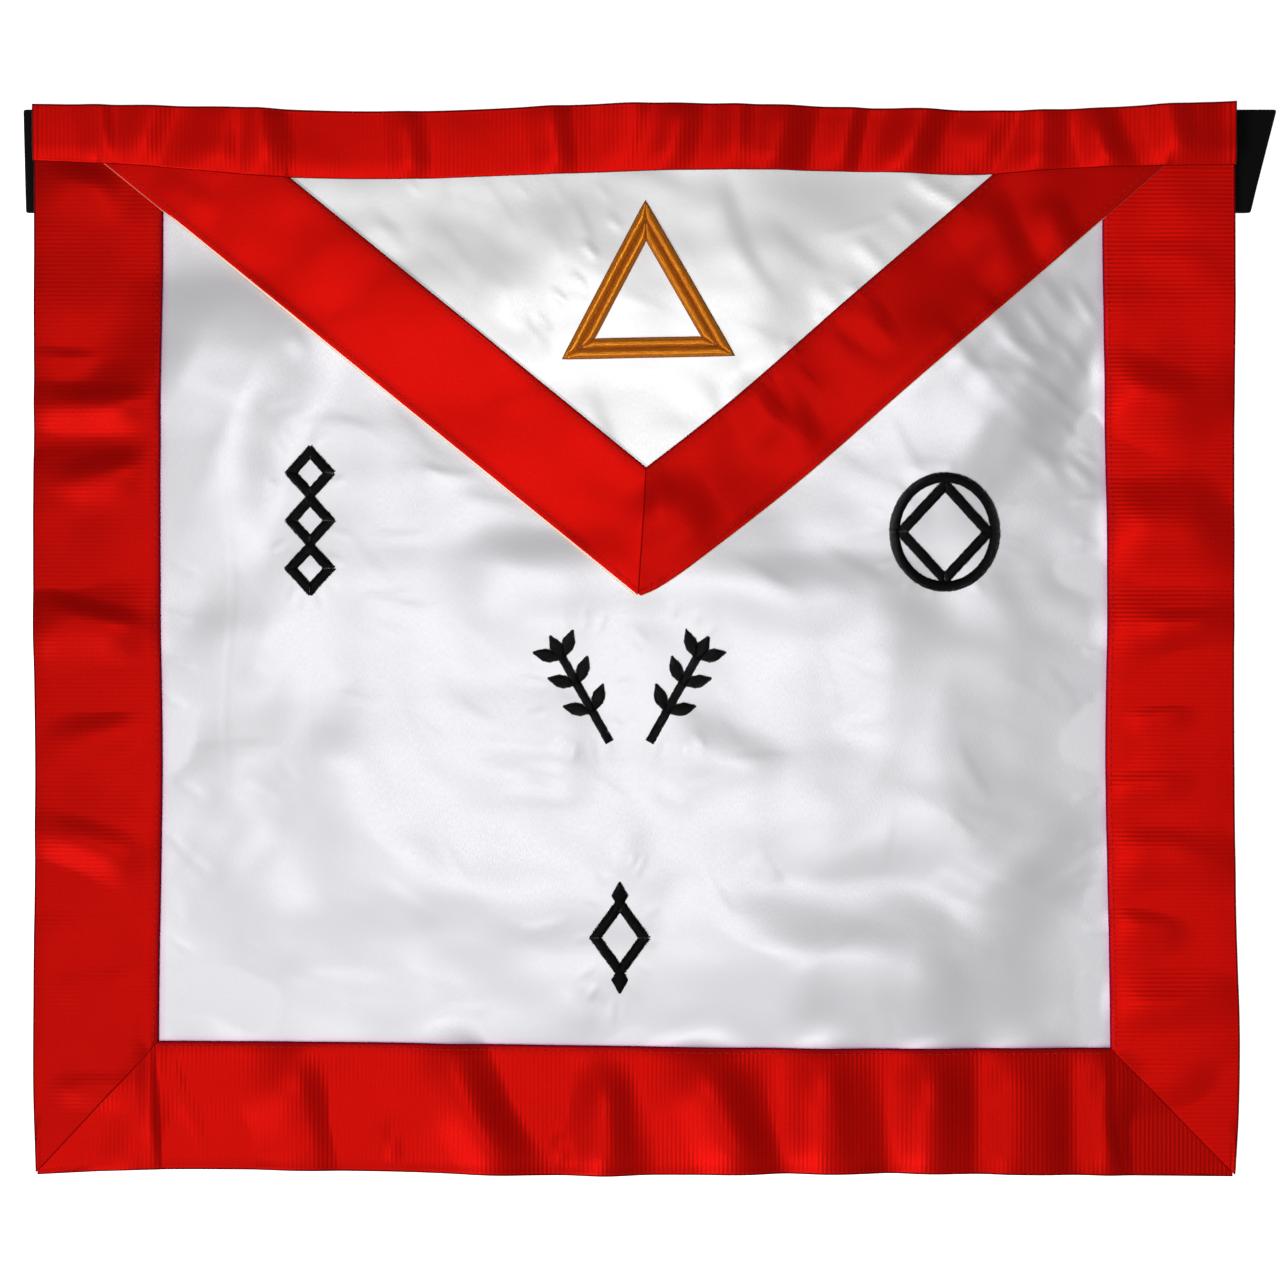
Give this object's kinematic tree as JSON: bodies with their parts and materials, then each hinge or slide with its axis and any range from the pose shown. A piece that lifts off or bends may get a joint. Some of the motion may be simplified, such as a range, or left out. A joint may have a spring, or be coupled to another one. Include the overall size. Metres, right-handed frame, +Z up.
{
  "type": "masonic apron",
  "caption": "White satin apron with a triangular flap, wide ribbed red ribbon borders, gold and black embroidery and a webbing belt behind, lying flat.",
  "frame": {"origin": "centre of the bounding box in plan, on the surface that the apron lies on", "axes": "+X to the right of the apron seen from above, +Y towards its waist edge, +Z up, out of its face"},
  "size_m": [0.4172, 0.3568, 0.0105],
  "materials": {
    "white_satin": "white satin cloth with a soft sheen",
    "red_ribbon": "red grosgrain ribbon, finely ribbed",
    "gold_thread": "golden brown embroidery thread in satin stitch",
    "black_thread": "black embroidery thread in satin stitch",
    "black_webbing": "black woven webbing",
    "clasp_metal": "brushed metal"
  },
  "bodies": {
    "root": {"body_panel": "white_satin", "border_left": "red_ribbon", "border_right": "red_ribbon", "border_bottom": "red_ribbon", "flap_panel": "white_satin", "flap_band_left": "red_ribbon", "flap_band_right": "red_ribbon", "waist_band": "red_ribbon", "gold_triangle_outer": "gold_thread", "gold_triangle_inner": "gold_thread", "ornament_left": "black_thread", "ornament_right": "black_thread", "ornament_centre_left": "black_thread", "ornament_centre_right": "black_thread", "ornament_bottom": "black_thread", "belt_left": "black_webbing", "belt_right": "black_webbing", "belt_clasp": "clasp_metal"}
  },
  "joints": []
}
